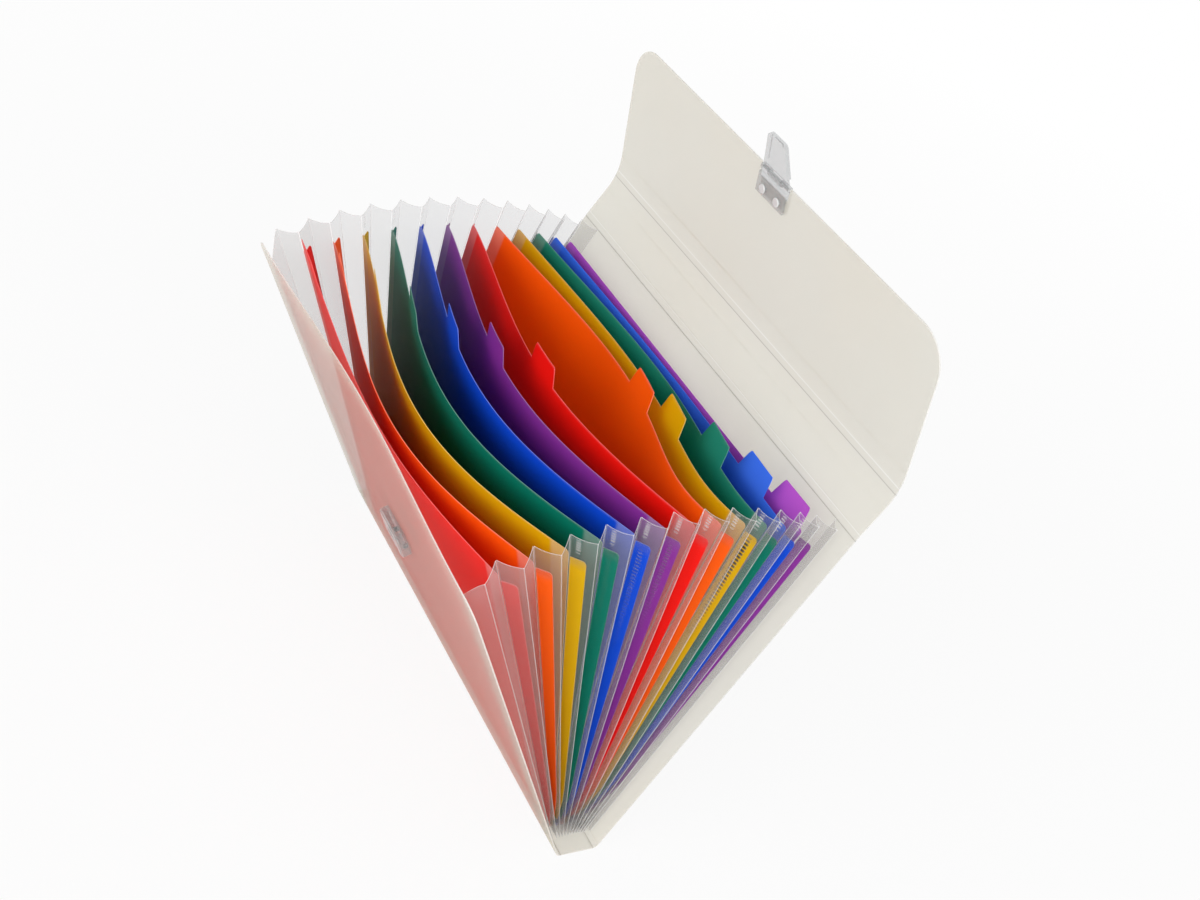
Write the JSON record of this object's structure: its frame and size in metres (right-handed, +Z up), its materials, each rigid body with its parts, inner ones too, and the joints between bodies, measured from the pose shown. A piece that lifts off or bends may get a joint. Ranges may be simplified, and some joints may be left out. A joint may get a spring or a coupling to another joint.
{
  "type": "expanding file",
  "caption": "Expanding accordion file of translucent plastic sheet, with tabbed colour dividers, pleated side film and a flap that closes over the front with a clip.",
  "frame": {"origin": "middle of the underside of the bottom strip, which the file stands on", "axes": "+Z up, +X along the width, +Y from the front cover to the back cover"},
  "size_m": [0.33, 0.2422, 0.3787],
  "materials": {
    "cover_sheet": "frosted, milky",
    "clear_film": "clear film",
    "clear_plastic": "clear moulding",
    "red_sheet": "tinted translucent sheet",
    "orange_sheet": "tinted translucent sheet",
    "amber_sheet": "tinted translucent sheet",
    "green_sheet": "tinted translucent sheet",
    "blue_sheet": "tinted translucent sheet",
    "purple_sheet": "tinted translucent sheet"
  },
  "bodies": {
    "base": {"bottom_strip": "cover_sheet"},
    "front_cover": {"front_cover": "cover_sheet", "catch": "clear_plastic", "catch_rivets": "clear_plastic"},
    "divider_01": {"divider_01": "red_sheet", "left_pleat_01": "clear_film", "right_pleat_01": "clear_film"},
    "divider_02": {"divider_02": "orange_sheet", "left_pleat_02": "clear_film", "right_pleat_02": "clear_film"},
    "divider_03": {"divider_03": "amber_sheet", "left_pleat_03": "clear_film", "right_pleat_03": "clear_film"},
    "divider_04": {"divider_04": "green_sheet", "left_pleat_04": "clear_film", "right_pleat_04": "clear_film"},
    "divider_05": {"divider_05": "blue_sheet", "left_pleat_05": "clear_film", "right_pleat_05": "clear_film"},
    "divider_06": {"divider_06": "purple_sheet", "left_pleat_06": "clear_film", "right_pleat_06": "clear_film"},
    "divider_07": {"divider_07": "red_sheet", "left_pleat_07": "clear_film", "right_pleat_07": "clear_film"},
    "divider_08": {"divider_08": "orange_sheet", "left_pleat_08": "clear_film", "right_pleat_08": "clear_film"},
    "divider_09": {"divider_09": "amber_sheet", "left_pleat_09": "clear_film", "right_pleat_09": "clear_film"},
    "divider_10": {"divider_10": "green_sheet", "left_pleat_10": "clear_film", "right_pleat_10": "clear_film"},
    "divider_11": {"divider_11": "blue_sheet", "left_pleat_11": "clear_film", "right_pleat_11": "clear_film"},
    "divider_12": {"divider_12": "purple_sheet", "left_pleat_12": "clear_film", "right_pleat_12": "clear_film"},
    "back_cover": {"back_cover": "cover_sheet", "left_pleat_13": "clear_film", "right_pleat_13": "clear_film"},
    "top_strip": {"top_strip": "cover_sheet"},
    "flap": {"flap": "cover_sheet", "clip_base": "clear_plastic", "clip_rivets": "clear_plastic", "clip_pin": "clear_plastic"},
    "clip_lever": {"clip_lever": "clear_plastic"}
  },
  "joints": [
    {"name": "back_cover_fold", "type": "hinge", "parent": "base", "child": "back_cover", "pos_m": [0, 0.013, 0.0004], "axis": [1, 0, 0], "range_deg": [0, 20.86], "deforming": ["left_pleat_13", "right_pleat_13"]},
    {"name": "front_cover_fold", "type": "hinge", "parent": "base", "child": "front_cover", "pos_m": [0, -0.013, 0.0004], "axis": [1, 0, 0], "range_deg": [-28.01, 0]},
    {"name": "divider_01_fold", "type": "hinge", "parent": "base", "child": "divider_01", "pos_m": [0, -0.01, 0.0013], "axis": [1, 0, 0], "range_deg": [-23.71, 0], "deforming": ["left_pleat_01", "right_pleat_01"]},
    {"name": "divider_02_fold", "type": "hinge", "parent": "base", "child": "divider_02", "pos_m": [0, -0.0085, 0.0013], "axis": [1, 0, 0], "range_deg": [-19.41, 0], "deforming": ["left_pleat_02", "right_pleat_02"]},
    {"name": "divider_03_fold", "type": "hinge", "parent": "base", "child": "divider_03", "pos_m": [0, -0.007, 0.0013], "axis": [1, 0, 0], "range_deg": [-15.12, 0], "deforming": ["left_pleat_03", "right_pleat_03"]},
    {"name": "divider_04_fold", "type": "hinge", "parent": "base", "child": "divider_04", "pos_m": [0, -0.0055, 0.0013], "axis": [1, 0, 0], "range_deg": [-10.85, 0], "deforming": ["left_pleat_04", "right_pleat_04"]},
    {"name": "divider_05_fold", "type": "hinge", "parent": "base", "child": "divider_05", "pos_m": [0, -0.004, 0.0013], "axis": [1, 0, 0], "range_deg": [-6.63, 0], "deforming": ["left_pleat_05", "right_pleat_05"]},
    {"name": "divider_06_fold", "type": "hinge", "parent": "base", "child": "divider_06", "pos_m": [0, -0.0025, 0.0013], "axis": [1, 0, 0], "range_deg": [-2.47, 0], "deforming": ["left_pleat_06", "right_pleat_06"]},
    {"name": "divider_07_fold", "type": "hinge", "parent": "base", "child": "divider_07", "pos_m": [0, -0.001, 0.0013], "axis": [1, 0, 0], "range_deg": [0, 1.6], "deforming": ["left_pleat_07", "right_pleat_07"]},
    {"name": "divider_08_fold", "type": "hinge", "parent": "base", "child": "divider_08", "pos_m": [0, 0.0005, 0.0013], "axis": [1, 0, 0], "range_deg": [0, 5.5], "deforming": ["left_pleat_08", "right_pleat_08"]},
    {"name": "divider_09_fold", "type": "hinge", "parent": "base", "child": "divider_09", "pos_m": [0, 0.002, 0.0013], "axis": [1, 0, 0], "range_deg": [0, 9.21], "deforming": ["left_pleat_09", "right_pleat_09"]},
    {"name": "divider_10_fold", "type": "hinge", "parent": "base", "child": "divider_10", "pos_m": [0, 0.0035, 0.0013], "axis": [1, 0, 0], "range_deg": [0, 12.67], "deforming": ["left_pleat_10", "right_pleat_10"]},
    {"name": "divider_11_fold", "type": "hinge", "parent": "base", "child": "divider_11", "pos_m": [0, 0.005, 0.0013], "axis": [1, 0, 0], "range_deg": [0, 15.81], "deforming": ["left_pleat_11", "right_pleat_11"]},
    {"name": "divider_12_fold", "type": "hinge", "parent": "base", "child": "divider_12", "pos_m": [0, 0.0065, 0.0013], "axis": [1, 0, 0], "range_deg": [0, 18.57], "deforming": ["left_pleat_12", "right_pleat_12"]},
    {"name": "top_strip_crease", "type": "hinge", "parent": "back_cover", "child": "top_strip", "pos_m": [0, 0.10059, 0.23028], "axis": [1, 0, 0], "range_deg": [-82, 34]},
    {"name": "flap_crease", "type": "hinge", "parent": "top_strip", "child": "flap", "pos_m": [0, 0.11488, 0.26113], "axis": [1, 0, 0], "range_deg": [-115, 40]},
    {"name": "clip_lever_hinge", "type": "hinge", "parent": "flap", "child": "clip_lever", "pos_m": [0, 0.09828, 0.35396], "axis": [1, 0, 0], "range_deg": [-100, 60]}
  ],
  "couplings": [
    {"joint": "front_cover_fold", "follows": "back_cover_fold", "ratio": -1.3424},
    {"joint": "divider_01_fold", "follows": "back_cover_fold", "ratio": -1.1362},
    {"joint": "divider_02_fold", "follows": "back_cover_fold", "ratio": -0.93014},
    {"joint": "divider_03_fold", "follows": "back_cover_fold", "ratio": -0.72443},
    {"joint": "divider_04_fold", "follows": "back_cover_fold", "ratio": -0.51978},
    {"joint": "divider_05_fold", "follows": "back_cover_fold", "ratio": -0.31717},
    {"joint": "divider_06_fold", "follows": "back_cover_fold", "ratio": -0.11796},
    {"joint": "divider_07_fold", "follows": "back_cover_fold", "ratio": 0.076209},
    {"joint": "divider_08_fold", "follows": "back_cover_fold", "ratio": 0.26333},
    {"joint": "divider_09_fold", "follows": "back_cover_fold", "ratio": 0.44107},
    {"joint": "divider_10_fold", "follows": "back_cover_fold", "ratio": 0.60677},
    {"joint": "divider_11_fold", "follows": "back_cover_fold", "ratio": 0.75744},
    {"joint": "divider_12_fold", "follows": "back_cover_fold", "ratio": 0.88973}
  ]
}
